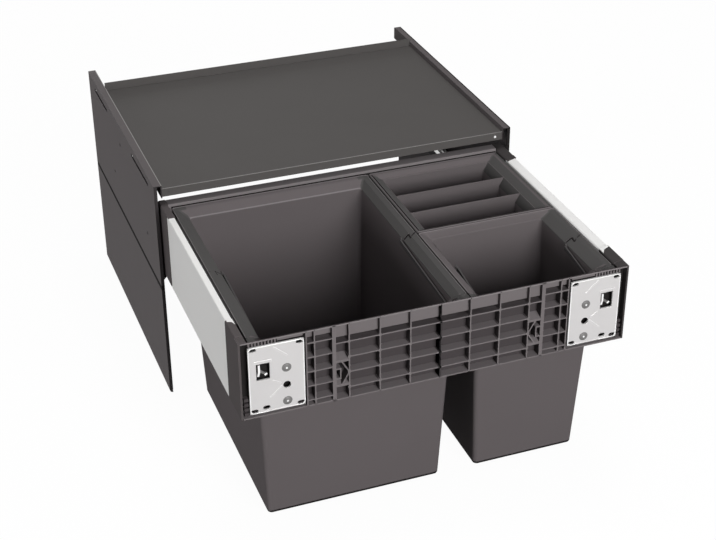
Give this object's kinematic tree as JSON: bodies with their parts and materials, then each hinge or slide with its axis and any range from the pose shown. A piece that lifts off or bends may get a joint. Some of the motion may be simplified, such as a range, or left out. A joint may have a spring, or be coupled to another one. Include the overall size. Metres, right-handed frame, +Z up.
{
  "type": "pull out bin frame",
  "caption": "Pull out waste frame for a base cabinet: sheet side panels under a lid shelf, and a drawer on roller runners that carries lift-out bins and an organiser box.",
  "frame": {"origin": "middle of the open unit's box, on the cabinet floor under the side panels", "axes": "+X to the right seen from the front, +Y to the back of the cabinet, +Z up"},
  "size_m": [0.562, 0.849, 0.362],
  "materials": {
    "panel_steel": "matt powder coat",
    "lid_steel": "matt powder coat",
    "white_steel": "satin white powder coat",
    "dark_steel": "matt powder coat",
    "black_fastener": "blackened",
    "zinc_rail": "zinc plated",
    "roller_steel": "ground",
    "cage_plastic": "moulded",
    "zinc_plate": "zinc plated, stamped",
    "zinc_fastener": "zinc plated",
    "frame_plastic": "moulded, fine grain",
    "bin_plastic": "moulded, fine grain",
    "handle_plastic": "moulded, fine grain"
  },
  "bodies": {
    "carcass": {"upper_panel_left": "panel_steel", "upper_panel_right": "panel_steel", "lower_panel_left": "panel_steel", "lower_panel_right": "panel_steel", "lid_shelf": "lid_steel", "lid_screws": "black_fastener", "lid_rivets": "zinc_fastener", "rail_bracket_left": "dark_steel", "rail_bracket_right": "dark_steel", "bracket_rivets": "black_fastener", "cabinet_rail_left": "zinc_rail", "cabinet_rail_right": "zinc_rail"},
    "drawer": {"drawer_rail_left": "zinc_rail", "drawer_rail_right": "zinc_rail", "drawer_side_left": "white_steel", "drawer_side_right": "white_steel", "front_corner_left": "frame_plastic", "front_corner_right": "frame_plastic", "rear_corner_left": "frame_plastic", "rear_corner_right": "frame_plastic", "front_beam": "frame_plastic", "rear_beam": "dark_steel", "ledge_left": "dark_steel", "ledge_right": "dark_steel", "middle_hanger": "dark_steel", "cross_hanger": "dark_steel", "side_screws": "black_fastener", "front_plate_left": "zinc_plate", "front_plate_right": "zinc_plate", "plate_rivets": "zinc_fastener"},
    "left_bin": {"left_bin": "bin_plastic"},
    "left_handle": {"left_bin_handle": "handle_plastic"},
    "right_bin": {"right_bin": "bin_plastic"},
    "right_handle": {"right_bin_handle": "handle_plastic"},
    "organiser": {"organiser_box": "bin_plastic"},
    "runner_middle_left": {"middle_rail_left": "zinc_rail"},
    "runner_lower_left": {"lower_cage_left": "cage_plastic", "lower_rollers_left": "roller_steel"},
    "runner_upper_left": {"upper_cage_left": "cage_plastic", "upper_rollers_left": "roller_steel"},
    "adjuster_left": {"height_adjuster_left": "zinc_fastener"},
    "runner_middle_right": {"middle_rail_right": "zinc_rail"},
    "runner_lower_right": {"lower_cage_right": "cage_plastic", "lower_rollers_right": "roller_steel"},
    "runner_upper_right": {"upper_cage_right": "cage_plastic", "upper_rollers_right": "roller_steel"},
    "adjuster_right": {"height_adjuster_right": "zinc_fastener"}
  },
  "joints": [
    {"name": "drawer_slide", "type": "slide", "parent": "carcass", "child": "drawer", "axis": [0, -1, 0], "range_m": [-0.391, 0]},
    {"name": "runner_middle_left_slide", "type": "slide", "parent": "carcass", "child": "runner_middle_left", "axis": [0, -1, 0], "range_m": [-0.1955, 0]},
    {"name": "runner_lower_left_slide", "type": "slide", "parent": "carcass", "child": "runner_lower_left", "axis": [0, -1, 0], "range_m": [-0.09775, 0]},
    {"name": "runner_upper_left_slide", "type": "slide", "parent": "carcass", "child": "runner_upper_left", "axis": [0, -1, 0], "range_m": [-0.29325, 0]},
    {"name": "adjuster_left_turn", "type": "hinge", "parent": "drawer", "child": "adjuster_left", "pos_m": [-0.242, -0.4175, 0.2765], "axis": [0, 1, 0], "range_deg": [-90, 90]},
    {"name": "runner_middle_right_slide", "type": "slide", "parent": "carcass", "child": "runner_middle_right", "axis": [0, -1, 0], "range_m": [-0.1955, 0]},
    {"name": "runner_lower_right_slide", "type": "slide", "parent": "carcass", "child": "runner_lower_right", "axis": [0, -1, 0], "range_m": [-0.09775, 0]},
    {"name": "runner_upper_right_slide", "type": "slide", "parent": "carcass", "child": "runner_upper_right", "axis": [0, -1, 0], "range_m": [-0.29325, 0]},
    {"name": "adjuster_right_turn", "type": "hinge", "parent": "drawer", "child": "adjuster_right", "pos_m": [0.242, -0.4175, 0.2765], "axis": [0, 1, 0], "range_deg": [-90, 90]},
    {"name": "left_bin_lift", "type": "slide", "parent": "drawer", "child": "left_bin", "axis": [0, 0, 1], "range_m": [0, 0.33]},
    {"name": "right_bin_lift", "type": "slide", "parent": "drawer", "child": "right_bin", "axis": [0, 0, 1], "range_m": [0, 0.33]},
    {"name": "organiser_lift", "type": "slide", "parent": "drawer", "child": "organiser", "axis": [0, 0, 1], "range_m": [0, 0.33]},
    {"name": "left_handle_swing", "type": "hinge", "parent": "left_bin", "child": "left_handle", "pos_m": [-0.1066, -0.219, 0.30675], "axis": [-1, 0, 0], "range_deg": [0, 95]},
    {"name": "right_handle_swing", "type": "hinge", "parent": "right_bin", "child": "right_handle", "pos_m": [0.1516, -0.3175, 0.30675], "axis": [-1, 0, 0], "range_deg": [0, 95]}
  ],
  "couplings": [
    {"joint": "runner_middle_left_slide", "follows": "drawer_slide", "ratio": 0.5},
    {"joint": "runner_lower_left_slide", "follows": "drawer_slide", "ratio": 0.25},
    {"joint": "runner_upper_left_slide", "follows": "drawer_slide", "ratio": 0.75},
    {"joint": "runner_middle_right_slide", "follows": "drawer_slide", "ratio": 0.5},
    {"joint": "runner_lower_right_slide", "follows": "drawer_slide", "ratio": 0.25},
    {"joint": "runner_upper_right_slide", "follows": "drawer_slide", "ratio": 0.75}
  ]
}
